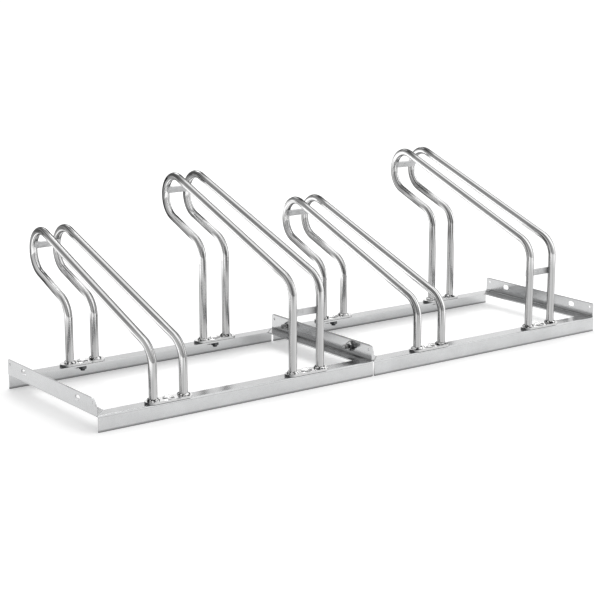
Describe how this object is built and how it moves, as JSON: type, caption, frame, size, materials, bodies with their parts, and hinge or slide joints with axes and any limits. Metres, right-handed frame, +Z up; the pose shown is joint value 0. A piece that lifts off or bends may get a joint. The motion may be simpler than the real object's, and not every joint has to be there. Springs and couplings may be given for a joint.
{
  "type": "bicycle rack",
  "caption": "Low steel rack that holds bicycle wheels upright between bent tubes, alternately low and high, on a bolted frame of angle sections.",
  "frame": {"origin": "on the floor, at the middle of the row's length and of its whole depth", "axes": "+X along the row from its left end to its right end, +Y from the front rails to the hoops' noses, +Z up"},
  "size_m": [1.4, 0.5408, 0.4162],
  "materials": {
    "frame_steel": "galvanised, matt grey",
    "tube_steel": "bright zinc",
    "plate_steel": "zinc",
    "fastener_steel": "zinc plated"
  },
  "bodies": {
    "root": {"left_front_rail": "frame_steel", "left_back_rail": "frame_steel", "right_front_rail": "frame_steel", "right_back_rail": "frame_steel", "left_end_cross_rail": "frame_steel", "left_joint_cross_rail": "frame_steel", "right_joint_cross_rail": "frame_steel", "right_end_cross_rail": "frame_steel", "hoop_1_left_tube": "tube_steel", "hoop_1_right_tube": "tube_steel", "hoop_2_left_tube": "tube_steel", "hoop_2_right_tube": "tube_steel", "hoop_3_left_tube": "tube_steel", "hoop_3_right_tube": "tube_steel", "hoop_4_left_tube": "tube_steel", "hoop_4_right_tube": "tube_steel", "hoop_1_nose_bar": "plate_steel", "hoop_2_nose_bar": "plate_steel", "hoop_3_nose_bar": "plate_steel", "hoop_4_nose_bar": "plate_steel", "hoop_2_leg_bar": "plate_steel", "hoop_4_leg_bar": "plate_steel", "hoop_1_front_foot": "plate_steel", "hoop_1_back_foot": "plate_steel", "hoop_2_front_foot": "plate_steel", "hoop_2_back_foot": "plate_steel", "hoop_3_front_foot": "plate_steel", "hoop_3_back_foot": "plate_steel", "hoop_4_front_foot": "plate_steel", "hoop_4_back_foot": "plate_steel", "foot_bolts": "fastener_steel", "foot_washers": "fastener_steel", "foot_nuts": "fastener_steel", "joint_bolts": "fastener_steel", "joint_washers": "fastener_steel", "joint_nuts": "fastener_steel"}
  },
  "joints": []
}
